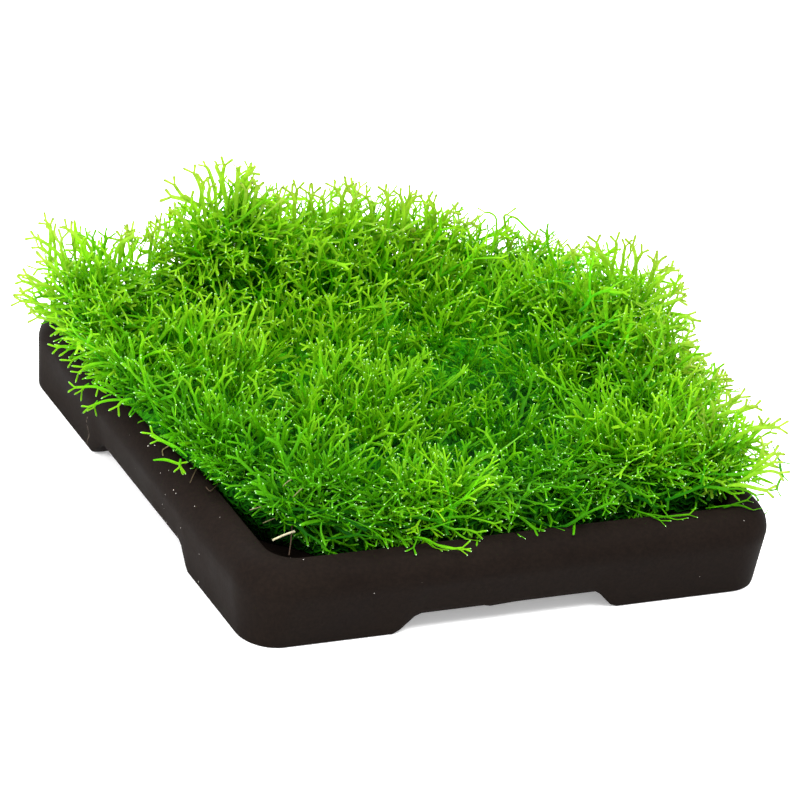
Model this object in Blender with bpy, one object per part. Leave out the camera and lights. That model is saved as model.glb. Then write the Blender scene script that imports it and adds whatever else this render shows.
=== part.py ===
"""Crystalwort: a springy mat of forked green thalli on a square ceramic tray with four corner feet.

Metres, +Z up. The origin is the middle of the tray's underside, level with the bottoms of its feet.
The tray's sides are square to X and Y. The mat's tallest tuft is at the back left, -X and +Y.
"""

import math
import random

import bmesh
import bpy
from mathutils import Vector

MM = 0.001

# Tray: a pressed dish, a little narrower at its feet than at its rim
TRAY_HALF = 50.0 * MM
TRAY_HEIGHT = 14.5 * MM
TRAY_FOOT_HALF = 48.6 * MM
TRAY_CORNER_TOP = 9.0 * MM
TRAY_CORNER_FOOT = 6.4 * MM
RIM_ROUND = 4.6 * MM
RIM_INNER_ROUND = 1.0 * MM
FOOT_EDGE = 0.5 * MM
RECESS_HALF = 43.4 * MM
RECESS_CORNER = 4.4 * MM
RECESS_DEPTH = 7.0 * MM
RECESS_DRAFT = 1.2 * MM
RECESS_FILLET = 2.0 * MM
ARCH_HEIGHT_FRONT = 3.6 * MM
ARCH_HEIGHT_SIDES = 3.9 * MM
ARCH_SHIFT = -1.3 * MM
ARCH_HALF_FOOT = 20.6 * MM
ARCH_RAMP = 3.8 * MM
ARCH_ROUND = 1.6 * MM
CORNER_STEPS = 8
ROUND_STEPS = 5

# Mat: how far its body goes each way, and how high it stands over the rim
GAP = 0.4 * MM
MAT_LEFT = 52.5 * MM
MAT_RIGHT = 50.8 * MM
MAT_FRONT = 43.8 * MM
MAT_BACK = 47.5 * MM
MAT_ROUNDING = 0.14
MAT_BODY = 6.5 * MM
EDGE_LIFT = 1.3 * MM
RIPPLE = 0.7 * MM
GRID = 12
GRID_JITTER = 0.32

# The farthest tips of the thalli, from the tray's middle and from the ground
REACH_X = 56.5 * MM
REACH_Y = 49.9 * MM
TIP_HEIGHT = 45.0 * MM

# The mat draws back from the tray's front left corner
BARE_CORNER = (-50.0 * MM, -40.0 * MM)
BARE_SPREAD = 27.0 * MM
BARE_DEPTH = 8.5 * MM

# Mounds and hollows of the mat, in mm: place, spread along X and Y, rise
MOUNDS = (
    (-18, 39, 8, 8, 15.5),
    (5, 41, 22, 9, 12.5),
    (49, 8, 8, 13, 14.5),
    (46, -22, 10, 18, 5.0),
    (-50, 37, 12, 14, 9.0),
    (24, -28, 15, 12, 2.5),
    (-30, -28, 12, 10, 2.0),
    (-30, 4, 14, 14, 1.5),
    (-20, 25, 7, 5, -4.0),
    (12, -13, 7, 6, -3.0),
    (40, 40, 10, 8, -6.5),
    (-32, 46, 5, 8, -4.0),
    (33, -3, 5, 8, -3.0),
    (-22, -21, 4, 4, -2.0),
    (-40, 17, 5, 5, -2.5),
)

# Spikes: each facet of the mat's top carries the tip of a thallus, plain or forked
SPIKE_SHORT = 3.4 * MM
SPIKE_LONG = 7.0 * MM
SPIKE_TALL = 11.0 * MM
TUFT_START = 11.0 * MM
TUFT_FULL = 19.0 * MM
SIDE_START = 44.0 * MM
SIDE_FULL = 50.0 * MM
LEAN_X = 1.3
LEAN_Y = 0.9
DROOP = -0.35
FORK_SHARE = 0.3
FORK_TAPER = 0.42
FORK_SPREAD = 2.6
SPIKE_SEED = 11


def clear_scene():
    for item in list(bpy.data.objects):
        bpy.data.objects.remove(item, do_unlink=True)


def material(name, color, roughness):
    made = bpy.data.materials.new(name)
    made.use_nodes = True
    shader = made.node_tree.nodes["Principled BSDF"]
    shader.inputs["Base Color"].default_value = (*color, 1.0)
    shader.inputs["Roughness"].default_value = roughness
    shader.inputs["Metallic"].default_value = 0.0
    made.diffuse_color = (*color, 1.0)
    return made


def add_object(name, body, surface):
    mesh = bpy.data.meshes.new(name)
    body.to_mesh(mesh)
    body.free()
    item = bpy.data.objects.new(name, mesh)
    bpy.context.collection.objects.link(item)
    item.data.materials.append(surface)
    return item


def rounded_square(half, corner, height):
    """Points round a square with rounded corners, anticlockwise from the middle of the +X +Y corner."""
    points = []
    for quarter in range(4):
        middle = math.radians(45 + 90 * quarter)
        centre = Vector((math.copysign(half - corner, math.cos(middle)),
                         math.copysign(half - corner, math.sin(middle)), height))
        for step in range(CORNER_STEPS + 1):
            angle = math.radians(90 * quarter + 90 * step / CORNER_STEPS)
            points.append(centre + corner * Vector((math.cos(angle), math.sin(angle), 0)))
    return points


def join_rings(body, rings):
    """Faces between rings of as many points each, given from the inside bottom outwards and up."""
    rows = [[body.verts.new(point) for point in ring] for ring in rings]
    for low, high in zip(rows, rows[1:]):
        for index in range(len(low)):
            after = (index + 1) % len(low)
            body.faces.new((low[index], low[after], high[after], high[index]))
    return rows


def tray_profile():
    """The tray's section from the edge of a foot to the recess floor: half width, corner radius, height."""
    profile = [(TRAY_FOOT_HALF - FOOT_EDGE, TRAY_CORNER_FOOT - FOOT_EDGE, 0.0)]
    profile.append((TRAY_FOOT_HALF, TRAY_CORNER_FOOT, FOOT_EDGE))
    for step in range(ROUND_STEPS + 1):
        angle = math.radians(90 * step / ROUND_STEPS)
        inset = RIM_ROUND * (1 - math.cos(angle))
        rise = RIM_ROUND * math.sin(angle)
        profile.append((TRAY_HALF - inset, TRAY_CORNER_TOP - inset / 2, TRAY_HEIGHT - RIM_ROUND + rise))
    for step in range(3):
        angle = math.radians(90 * step / 2)
        outset = RIM_INNER_ROUND * (1 - math.sin(angle))
        drop = RIM_INNER_ROUND * (1 - math.cos(angle))
        profile.append((RECESS_HALF + outset, RECESS_CORNER + outset, TRAY_HEIGHT - drop))
    floor = TRAY_HEIGHT - RECESS_DEPTH
    foot_of_wall = RECESS_HALF - RECESS_DRAFT
    for step in range(ROUND_STEPS):
        angle = math.radians(90 * step / (ROUND_STEPS - 1))
        inset = RECESS_FILLET * (1 - math.cos(angle))
        profile.append((foot_of_wall - inset, RECESS_CORNER - inset / 2,
                        floor + RECESS_FILLET * (1 - math.sin(angle))))
    return profile


def arch_cutter(name, along_x, arch_height):
    """A bar with sloped and rounded sides that cuts the arches of two opposite walls."""
    top = ARCH_HALF_FOOT - ARCH_RAMP
    below = 2.0 * MM
    slope = math.atan2(arch_height, ARCH_RAMP)
    tangent = ARCH_ROUND * math.tan(slope / 2)
    section = [(-ARCH_HALF_FOOT - below * ARCH_RAMP / arch_height, -below)]
    for step in range(4):
        angle = slope * (1 - step / 3)
        section.append((-top + tangent - ARCH_ROUND * math.sin(angle),
                        arch_height - ARCH_ROUND * (1 - math.cos(angle))))
    section += [(-across, height) for across, height in reversed(section)]
    body = bmesh.new()
    rings = []
    for end in (-TRAY_HALF * 1.1, TRAY_HALF * 1.1):
        places = [(across + ARCH_SHIFT, height) for across, height in section]
        rings.append([Vector((end, across, height)) if along_x else Vector((across, end, height))
                      for across, height in places])
    rows = join_rings(body, rings)
    body.faces.new(rows[0])
    body.faces.new(rows[1])
    bmesh.ops.recalc_face_normals(body, faces=body.faces)
    cutter = add_object(name, body, bpy.data.materials["ceramic"])
    cutter.hide_render = True
    cutter.display_type = "WIRE"
    return cutter


def add_tray():
    body = bmesh.new()
    rings = [rounded_square(half, corner, height) for half, corner, height in tray_profile()]
    rows = join_rings(body, rings)
    body.faces.new(list(reversed(rows[0])))
    body.faces.new(rows[-1])
    tray = add_object("tray", body, material("ceramic", (0.030, 0.022, 0.018), 0.55))
    arches = (("side_arches", True, ARCH_HEIGHT_SIDES), ("front_arches", False, ARCH_HEIGHT_FRONT))
    for name, along_x, arch_height in arches:
        cut = tray.modifiers.new(name, "BOOLEAN")
        cut.operation = "DIFFERENCE"
        cut.solver = "EXACT"
        cut.object = arch_cutter(name, along_x, arch_height)
    tray.data.shade_smooth()
    tray.data.set_sharp_from_angle(angle=math.radians(40))
    return tray


def square_cells():
    """The square perimeter's grid places, anticlockwise, as pairs from -GRID to GRID."""
    n = GRID
    places = [(n, step) for step in range(-n, n)]
    places += [(step, n) for step in range(n, -n, -1)]
    places += [(-n, step) for step in range(n, -n, -1)]
    places += [(step, -n) for step in range(-n, n)]
    return places


def mat_plan(a, b):
    """Where a place of the mat lies on the tray: a and b run from -1 to 1 between its sides."""
    x = a * math.sqrt(1 - MAT_ROUNDING * b * b / 2) * (MAT_RIGHT if a > 0 else MAT_LEFT)
    y = b * math.sqrt(1 - MAT_ROUNDING * a * a / 2) * (MAT_BACK if b > 0 else MAT_FRONT)
    away = math.hypot(x - BARE_CORNER[0], y - BARE_CORNER[1]) / BARE_SPREAD
    pull = BARE_DEPTH * math.exp(-away * away) * max(abs(a), abs(b)) ** 2
    return x + pull, y + pull * 0.15


def mound_height(x, y):
    """The height of the mat's body over the rim, away from its edge."""
    height = MAT_BODY
    for place_x, place_y, spread_x, spread_y, rise in MOUNDS:
        across = (x / MM - place_x) / spread_x
        along = (y / MM - place_y) / spread_y
        height += rise * MM * math.exp(-(across * across + along * along) / 2)
    return height + RIPPLE * math.sin(x / MM * 0.41 + 1.0) * math.sin(y / MM * 0.37 + 0.4)


def mat_top(a, b):
    """The mat's upper side: its mounds, rounded down to the edge."""
    x, y = mat_plan(a, b)
    shoulder = math.sqrt(1 - max(abs(a), abs(b)) ** 6)
    over_rim = EDGE_LIFT + (mound_height(x, y) - EDGE_LIFT) * shoulder
    return Vector((x, y, TRAY_HEIGHT + over_rim))


def grid_verts(body, chance):
    """The mat's top as a grid, its inner places moved about so that no rows show."""
    verts = {}
    for i in range(-GRID, GRID + 1):
        for j in range(-GRID, GRID + 1):
            inner = max(abs(i), abs(j)) < GRID
            shift = GRID_JITTER if inner else 0.0
            a = (i + shift * chance.uniform(-1, 1)) / GRID
            b = (j + shift * chance.uniform(-1, 1)) / GRID
            verts[i, j] = body.verts.new(mat_top(a, b))
    return verts


def under_ring(half, corner, height):
    """A ring of the mat's underside that follows the tray, drawn in where the mat itself stops short."""
    ring = []
    for i, j in square_cells():
        x = half * i / GRID
        y = half * j / GRID
        over_x = abs(x) - (half - corner)
        over_y = abs(y) - (half - corner)
        if over_x > 0 and over_y > 0:
            shrink = corner / math.hypot(over_x, over_y)
            x = math.copysign(half - corner + over_x * shrink, x)
            y = math.copysign(half - corner + over_y * shrink, y)
        edge_x, edge_y = mat_plan(i / GRID, j / GRID)
        keep = min(1.0, 0.985 * math.hypot(edge_x, edge_y) / math.hypot(x, y))
        ring.append(Vector((x * keep, y * keep, height)))
    return ring


def mat_underside():
    """Rings from the bottom in the recess, up its wall and out over the rim."""
    inside = RECESS_HALF - GAP
    floor = TRAY_HEIGHT - RECESS_DEPTH + GAP
    wall_foot = inside - RECESS_DRAFT
    return [
        under_ring(wall_foot - RECESS_FILLET, RECESS_CORNER, floor),
        under_ring(wall_foot - GAP, RECESS_CORNER, floor + RECESS_FILLET),
        under_ring(inside - GAP / 2, RECESS_CORNER, TRAY_HEIGHT - RIM_INNER_ROUND),
        under_ring(inside + RIM_INNER_ROUND, RECESS_CORNER, TRAY_HEIGHT + GAP),
        under_ring(TRAY_HALF - RIM_ROUND / 2, TRAY_CORNER_TOP, TRAY_HEIGHT + GAP * 1.5),
    ]


def spike_direction(x, y):
    """Tips stand up in the middle of the mat and lean out towards its sides."""
    return Vector((LEAN_X * (x / MAT_LEFT) ** 3, LEAN_Y * (y / MAT_BACK) ** 3, 1.0)).normalized()


def spike_length(foot, chance):
    """Most tips are short; they are longer on the tufts and where they hang over the sides."""
    length = SPIKE_SHORT + (SPIKE_LONG - SPIKE_SHORT) * chance.random() ** 1.4
    tuft = (foot.z - TRAY_HEIGHT - TUFT_START) / (TUFT_FULL - TUFT_START)
    side = (abs(foot.x) - SIDE_START) / (SIDE_FULL - SIDE_START)
    extra = max(0.0, min(1.0, max(tuft, side)))
    return length + extra * (SPIKE_TALL - SPIKE_LONG) * chance.random()


def point_facet(body, facet, tip):
    """A facet's corners joined to a tip, which is held inside the mat's reach."""
    tip.x = max(-REACH_X, min(REACH_X, tip.x))
    tip.y = max(-REACH_Y, min(REACH_Y, tip.y))
    tip.z = min(TIP_HEIGHT, tip.z)
    peak = body.verts.new(tip)
    for start, end in zip(facet, facet[1:] + facet[:1]):
        body.faces.new((start, end, peak))


def middle_of(verts, weights=(1, 1, 1)):
    return sum((vert.co * weight for vert, weight in zip(verts, weights)), Vector()) / sum(weights)


def raise_spike(body, facet, chance, direction=None):
    """One facet of the mat becomes a three-sided spike that stands in its own facet."""
    foot = middle_of(facet, [1 + 0.6 * chance.random() for _ in facet])
    length = spike_length(foot, chance)
    direction = direction or spike_direction(foot.x, foot.y)
    point_facet(body, facet, foot + direction * length)


def raise_fork(body, facet, chance):
    """One facet of the mat becomes a stalk that parts into two tips, as a thallus does."""
    foot = middle_of(facet)
    length = spike_length(foot, chance)
    direction = spike_direction(foot.x, foot.y)
    crotch = foot + direction * length * 0.45
    waist = [body.verts.new(crotch + (vert.co - foot) * FORK_TAPER) for vert in facet]
    for index in range(3):
        after = (index + 1) % 3
        body.faces.new((facet[index], facet[after], waist[after]))
        body.faces.new((facet[index], waist[after], waist[index]))
    saddle = body.verts.new(crotch - direction * length * 0.06)
    body.faces.new((waist[2], waist[0], saddle))
    for start, end in ((0, 1), (1, 2)):
        prong = (waist[start], waist[end], saddle)
        apart = middle_of(prong) - crotch
        rise = length * (0.5 + 0.2 * chance.random())
        point_facet(body, prong, crotch + apart * FORK_SPREAD + direction * rise)


def grid_facets(verts):
    """The grid's cells as triangles, cut along alternate diagonals."""
    facets = []
    for i in range(-GRID, GRID):
        for j in range(-GRID, GRID):
            corners = [verts[i, j], verts[i + 1, j], verts[i + 1, j + 1], verts[i, j + 1]]
            if (i + j) % 2:
                corners = corners[1:] + corners[:1]
            facets.append((corners[0], corners[1], corners[2]))
            facets.append((corners[0], corners[2], corners[3]))
    return facets


def ring_facets(low, high):
    """Triangles between two rings, as facets that can carry spikes."""
    facets = []
    for index in range(len(low)):
        after = (index + 1) % len(low)
        facets.append((low[index], low[after], high[after]))
        facets.append((low[index], high[after], high[index]))
    return facets


def add_mat():
    chance = random.Random(SPIKE_SEED)
    body = bmesh.new()
    verts = grid_verts(body, chance)
    for facet in grid_facets(verts):
        if chance.random() < FORK_SHARE:
            raise_fork(body, facet, chance)
        else:
            raise_spike(body, facet, chance)
    rows = [[body.verts.new(point) for point in ring] for ring in mat_underside()]
    edge = [verts[place] for place in square_cells()]
    for low, high in zip(rows, rows[1:]):
        for facet in ring_facets(low, high):
            body.faces.new(facet)
    for facet in ring_facets(rows[-1], edge):
        foot = middle_of(facet)
        if abs(foot.x) > TRAY_HALF:
            outward = Vector((math.copysign(1.0, foot.x), 0, DROOP)).normalized()
            raise_spike(body, facet, chance, outward)
        else:
            body.faces.new(facet)
    body.faces.new(list(reversed(rows[0])))
    return add_object("crystalwort_mat", body, material("thallus", (0.075, 0.29, 0.008), 0.5))


clear_scene()
add_tray()
add_mat()
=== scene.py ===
"""Crystalwort on a square ceramic tray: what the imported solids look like."""

import math

import bpy
import numpy as np
from mathutils import Matrix, Vector


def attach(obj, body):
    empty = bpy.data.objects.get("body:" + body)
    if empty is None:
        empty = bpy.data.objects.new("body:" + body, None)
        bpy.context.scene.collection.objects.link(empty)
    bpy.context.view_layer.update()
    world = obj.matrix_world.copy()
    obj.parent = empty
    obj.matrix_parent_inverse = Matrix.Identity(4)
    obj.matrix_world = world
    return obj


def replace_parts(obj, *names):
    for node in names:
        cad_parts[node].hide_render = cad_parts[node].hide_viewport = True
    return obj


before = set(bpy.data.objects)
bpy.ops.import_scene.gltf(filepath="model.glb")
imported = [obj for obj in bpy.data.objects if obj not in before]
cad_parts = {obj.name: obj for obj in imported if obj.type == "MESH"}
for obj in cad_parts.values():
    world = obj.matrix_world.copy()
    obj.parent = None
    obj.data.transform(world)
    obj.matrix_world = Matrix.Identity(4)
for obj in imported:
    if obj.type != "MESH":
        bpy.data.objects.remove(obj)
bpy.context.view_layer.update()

# All sizes and places below are in mm where nothing else is said
MM = 0.001
CRISP_ANGLE = math.radians(70)

# The camera that took the photograph: a long lens, turned and rolled, in an 800 by 800 frame
FRAME_PX = 800
FOCAL_PX = 6792
CAMERA_DISTANCE = 1179.8 * MM
CAMERA_PITCH = 0.492
CAMERA_YAW = 0.509
CAMERA_ROLL = -0.149
AIM_ACROSS = -0.49 * MM
AIM_UP = 13.77 * MM
SENSOR_MM = 36.0

# The tray, as the solids have it
TRAY_HALF = 50.0
TRAY_HEIGHT = 14.5
TRAY_FOOT_HALF = 48.6
TRAY_CORNER_TOP = 9.0
TRAY_CORNER_FOOT = 6.4
RIM_ROUND = 4.6
RIM_INNER_ROUND = 1.0
FOOT_EDGE = 0.5
RECESS_HALF = 43.4
RECESS_CORNER = 4.4
RECESS_DEPTH = 7.0
RECESS_DRAFT = 1.2
RECESS_FILLET = 2.0
ARCH_HEIGHT_FRONT = 3.6
ARCH_HEIGHT_SIDES = 3.9
ARCH_HALF_FOOT = 20.6
ARCH_RAMP = 3.8
ARCH_SHIFT = -1.3
TRAY_SWAY = 0.10
CORNER_STEPS = 18
SIDE_STEPS = 72

# A slight sag under the front arch: how deep it is at places along x
ARCH_SAG_X = (-5.6, -5.2, -3.5, 0.4)
ARCH_SAG = (0.0, 0.32, 0.22, 0.0)
FRONT_WALL_Y = -44.0

# Pale specks thicken round a place on the tray's left wall, by y and z, and thin out that far from it
SPECKS_AT = (-11.0, 9.5)
SPECKS_SPREAD = (9.0, 4.5)
LEFT_WALL_X = -44.0
TRICKLE_Y = 20.9
TRICKLE_TOP = 6.5
TRICKLE_HALF = 0.13

# The mat's body, as the solids have it
MAT_LEFT = 52.5
MAT_RIGHT = 50.8
MAT_FRONT = 43.8
MAT_BACK = 47.5
MAT_ROUNDING = 0.14
MAT_BODY = 6.5
EDGE_LIFT = 1.3
BARE_CORNER = (-50.0, -40.0)
BARE_SPREAD = 27.0
BARE_DEPTH = 8.5

# Its mounds and hollows: x, y, how far they spread along x and y, and how high they stand
MOUNDS = (
    (-18, 39, 8, 8, 15.5), (5, 41, 22, 9, 12.5), (49, 8, 8, 13, 14.5), (46, -22, 10, 18, 5.0),
    (-50, 37, 12, 14, 9.0), (24, -28, 15, 12, 2.5), (-30, -28, 12, 10, 2.0), (-30, 4, 14, 14, 1.5),
    (-20, 25, 7, 5, -4.0), (12, -13, 7, 6, -3.0), (40, 40, 10, 8, -6.5), (-32, 46, 5, 8, -4.0),
    (33, -3, 5, 8, -3.0), (-22, -21, 4, 4, -2.0), (-40, 17, 5, 5, -2.5),
)

# Cushions of the mat, raised in their middles, whose sprigs spread from there: x, y and radius
CUSHIONS = (
    (32, -29, 13), (-13, -42, 12), (-11, -9, 13), (-41, -10, 11), (-40, -34, 9), (-49, 9, 9), (-30, 13, 11),
    (-5, 22, 12), (-47, 38, 11), (18, 25, 12), (49, 12, 11), (36, 22, 10), (11, -13, 8), (34, 2, 9),
    (46, -38, 9), (8, 44, 10), (-20, 39, 9), (-25, -24, 9), (12, -41, 8), (27, 42, 9), (41, -14, 9),
)
CUSHION_RISE = 0.9
CUSHION_MIDDLING = 0.62
CUSHION_SPREAD = 0.40
FRONT_SPREAD = 0.45

# Pockets between the sprigs where the shade shows: x, y and radius
POCKETS = (
    (-32, 41, 3.4), (27, 12, 3.2), (38, 6, 3.0), (19, 9, 3.2), (20, -8, 3.6), (17, -17, 3.2), (-24, 2, 2.6),
    (-33, -16, 3.0), (-1, -20, 3.0), (5, -22, 2.8), (12, -27, 3.0), (-30, -29, 3.4), (-16, -23, 3.0),
    (4, -35, 3.4), (8, -43, 3.6), (20, -42, 3.0), (-35, -24, 2.8), (2, 7, 2.4), (-2, -30, 2.6),
)

# Hollows of the mat's body that longer sprigs fill: x, y and radius, and how far up
FILLS = (
    (-20, 26, 8, 3.5), (-12, 26, 8, 3.0), (16, 37, 7, 1.0), (-6, 31, 8, 2.5), (8, 34, 8, 1.8),
    (-30, 34, 7, 1.5), (30, 34, 8, 1.5),
)

# Patches of the mat in painted light or painted shade, lighter or more shaded than the rest: x, y and
# radius, and the change of tone
PAINTED_LIGHT_AND_SHADE = (
    (-24, 27, 11, 0.5), (-10, 31, 11, 0.55), (6, 36, 10, 0.45), (-14, 14, 12, 0.22), (0, 24, 12, 0.38),
    (14, 30, 10, 0.35), (-50, 4, 9, -0.45), (-46, -8, 9, -0.55), (-46, -20, 10, -0.85),
    (-38, -28, 10, -0.85), (-30, -36, 10, -0.8), (-22, -44, 8, -0.55), (4, -42, 7, -0.6),
    (17, -44, 9, -0.8), (30, -46, 8, -0.7), (43, -45, 8, -0.45), (10, -32, 8, -0.8), (18, -12, 9, -0.5),
    (-12, -45, 7, 0.65), (32, -32, 9, 0.45), (-26, -24, 9, -0.4), (37, -15, 9, -0.6), (-3, -29, 8, -0.4),
    (2, -47, 8, -0.5), (13, -6, 7, -0.45), (46, 10, 9, 0.35), (44, -2, 7, 0.3), (-20, 33, 9, 0.3),
    (-12, 25, 8, 0.4), (17, 37, 9, 0.4), (-42, -27, 8, -0.4), (-6, 34, 12, 0.4),
)

# Where the mat falls short of the front left corner, and how far its inside is set back there
CORNER_GAP = (-43.5, -41.0)
CORNER_GAP_REACH = 11.0
CORNER_GAP_PUSH = 8.0

# Ribbons of the thallus: the length and width of each stretch between forks, and the share that fork at
# its end
LONG_SPRIG = ((4.9, 0.62, 0.98), (4.6, 0.59, 0.96), (3.5, 0.53, 0.88))
SHORT_SPRIG = ((4.4, 0.52, 0.96), (3.4, 0.48, 0.88))
RIBBON_THICK = 0.16
FOOT_WIDTH = 0.6
LONG_STEPS = 3
SHORT_STEPS = 2
FORK_HALF_ANGLE = 0.56
FORK_SETTLE = 0.20
EARLY_END = 0.50
CURL = 0.20
TWIST = 0.60
TIP_HALF_ANGLE = 0.55
TIP_LENGTH = 1.60

# Where a fork's crotch and its arms start, in widths of the ribbon, and how widely an arm that ends early
# and its neighbour turn, in half angles
CROTCH_ON = 0.35
ARM_OUT = 0.27
ARM_ON = 0.22
EARLY_WIDE = 1.45
LATE_WIDE = 0.50

# A stretch that would leave the outline within the first of these is cut to a share of its length, and a
# ribbon that would within the last of them ends. Tips that end early are longer
STRETCH_AHEAD = 1.0
CUT_SHORT = 0.2
TIP_AHEAD = 1.5
EARLY_TIP_LENGTH = TIP_LENGTH * 1.4

# A tip's rings: how far along it, how wide and thick, with a bead and without one
BEAD_RINGS = ((0.82, 0.44, 0.15), (0.96, 0.17, 0.18))
PLAIN_RINGS = ((0.75, 0.42, 0.12),)

# A ribbon's age runs from 0 at its foot, darker there as painted shade, to 1: where its tip starts, the
# tip's neck, a dull neck or a green end, and a bead, pale as a growing point with a painted glint, or dark
# as painted shade against the light
TIP_AGE = 0.88
NECK_AGE = 0.905
GREEN_AGE = 0.912
BEAD_AGE = 0.980

# A ribbon's tone runs from deep green at 0, painted shade, over fresh green to the tones above these:
# sprigs painted lighter where the light comes through them, and sprigs of the outline whose growing points
# are painted dark, as they look against the light
FRESHEST = 0.87
LIT_THROUGH = 0.905
AGAINST_LIGHT = 0.935

# The greatest tone of the low sprigs, which stand in the green shade of the others
LOW_FRESHEST = 0.72

# Layers of sprigs over the mat: rows across it, the least and most that they end over its body, their
# least and greatest tone, and the share of tips with a pale growing point that carries a painted glint
LAYERS = (
    (SHORT_SPRIG, 46, (-3.6, -1.0), (0.00, 0.50), 0.00),
    (LONG_SPRIG, 31, (-0.4, 3.2), (0.16, 0.87), 0.66),
)

# Sprigs added to each layer on steep sides: how many places are tried, and the share kept as it steepens
SLOPE_TRIES = 2600
SLOPE_SHARE = 0.72
SLOPE_EVEN = 1.1

# How near the mat's edge the layers and the sprigs on steep sides go, from its middle at 0 to its edge at 1,
# and between which places its right and back rims begin
LAYER_SPAN = 0.96
SLOPE_SPAN = 0.92
RIM_SIDE_SPAN = (0.86, 1.0)

# Rings of sprigs round the mat's edge: how many, their stretches, how far in or out of its outline they
# end, how far up its side, their tones and the share of tips with a pale growing point that carries a
# painted glint
EDGES = (
    (900, SHORT_SPRIG, (-6.0, -0.8), (0.0, 0.7), (0.00, 0.30), 0.00),
    (900, LONG_SPRIG, (-4.0, 3.0), (0.0, 1.0), (0.10, 0.86), 0.58),
)

# Tufts whose sprigs spread from one place: its x, y and height over the rim, how far the tips reach, and
# how many sprigs
TUFTS = (
    (50, 13, 10, 10.0, 20), (50, 3, 9, 10.5, 22), (48, -8, 5, 10.0, 18), (-18, 40, 14, 10.5, 4),
    (-6, 42, 13, 10.5, 16), (4, 42, 12, 11.5, 18), (15, 42, 9, 11.0, 18), (24, 43, 7, 9.5, 14),
    (33, 43, 4, 9.0, 8), (-46, 38, 7, 12.0, 20), (-36, 42, 7, 12.0, 22), (-29, 43, 9, 10.0, 14),
    (-47, 28, 2, 9.0, 8), (46, -31, 1, 11.0, 20), (47, -18, 2, 10.0, 12), (31, -31, 2, 10.5, 12),
)
# The age at which the tufts' sprigs start, which gives their feet less painted shade, and the share of their
# tips with a painted glint
TUFT_FOOT_AGE = 0.56
TUFT_GLINT = 0.60

# Between these heights of its body the mat turns into a tuft. Its layers' sprigs end lower there, at the
# rim and in pockets, and a sprig's foot is hidden that far under the body
TUFT_START = 12.0
TUFT_FULL = 21.0
TUFT_OPEN = 3.0
EDGE_OPEN = 1.0
POCKET_OPEN = 2.5
FOOT_COVER = 2.5

# How much less far out the edge's sprigs end high up its side, at the corner's gap, at the front, and low
# at the left
HIGH_SETBACK = 2.5
GAP_SETBACK = 4.5
FRONT_SETBACK = 1.6
LEFT_SETBACK = 2.2

# How far under the mat's top its dark inside lies, and how much more for each mm of a mound's height, how
# far out it goes, how rough it is, and how far over the rim and the recess floor it stays
CORE_DEPTH = 4.6
CORE_TUFT_DEPTH = 0.65
CORE_SPAN = 0.91
CORE_ROUGH = 0.45
CORE_CLEAR = 0.4
CORE_STEPS = 36
MAT_SEED = 7

# Where the mat's ribbons are parted into pieces
PART_LINES_X = (-17.0, 17.0)
PART_LINES_Y = (0.0,)

# How far under its first pixel a path is rooted, and how deep, the distances from the camera at which it may
# meet the mat, and how far over the rim a path and a skin stay
PATH_FOOT_PX = 10
PATH_ROOT = 2.0
SIGHT_DISTANCES = np.arange(1080.0, 1270.0, 0.25)
RIM_CLEAR = 0.5
SKIN_CLEAR = 0.15

# Ribbons that stand out in the mat's outline: each row is a path by the photograph's pixels, in pairs of x
# and y from foot to tip
TALL_TUFT_PX = (
    (200,205, 183,198, 170,178), (200,205, 183,199, 163,195), (190,228, 185,222, 170,205),
    (205,215, 201,186, 190,166), (202,192, 204,175), (196,212, 193,203, 188,192),
    (216,205, 215,187, 208,168, 201,161), (226,200, 222,178, 216,167, 220,157), (222,180, 223,172, 226,158),
    (236,204, 237,180, 239,156), (233,198, 248,173, 256,156), (246,176, 259,169),
    (244,206, 246,195, 247,184), (254,208, 256,193, 259,180), (212,208, 208,195, 212,180),
)
BACK_PX = (
    (280,218, 281,203, 276,190), (294,218, 295,200, 288,186), (295,204, 298,182),
    (311,215, 311,197, 305,186), (311,199, 316,186), (325,216, 324,202, 320,193),
    (342,214, 342,197, 330,181), (342,199, 350,180), (352,214, 352,205, 356,192),
    (372,218, 370,203, 362,190), (384,228, 389,200, 382,184), (403,228, 404,205, 397,188),
    (404,207, 414,189), (405,221, 407,206, 421,191), (436,226, 434,208, 425,199), (434,210, 432,196),
    (440,228, 447,213, 457,209), (560,262, 567,255, 580,250), (577,266, 573,256, 573,246),
    (455,232, 466,224, 478,222), (524,250, 530,242, 538,238),
)
RIGHT_PX = (
    (612,268, 603,254, 583,243), (606,264, 598,248, 595,235), (612,268, 617,246, 614,234),
    (622,270, 624,252, 627,239), (636,270, 636,256, 630,238), (636,263, 646,246),
    (650,278, 655,264, 652,253), (653,270, 661,255), (652,286, 664,275, 677,266),
    (655,294, 670,285, 684,282), (655,299, 672,294, 685,289), (660,306, 675,300, 686,300),
    (668,312, 682,315, 697,316), (680,315, 690,318, 697,324), (670,326, 680,330, 690,328),
    (672,333, 682,338, 692,339), (675,346, 686,343, 697,344), (688,363, 697,357, 706,359),
    (703,386, 713,379, 722,371), (712,384, 726,374), (716,407, 729,404, 733,393),
    (729,406, 738,398, 743,395), (724,413, 740,411, 752,401), (738,412, 750,408, 763,405),
    (736,436, 748,430, 760,428, 787,427), (757,429, 765,426, 780,424), (755,431, 763,427, 764,420),
    (758,464, 763,450, 766,440), (755,468, 770,456, 781,449), (755,472, 770,464, 782,458),
    (750,475, 770,470, 787,476), (740,484, 758,489, 775,492),
)
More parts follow.
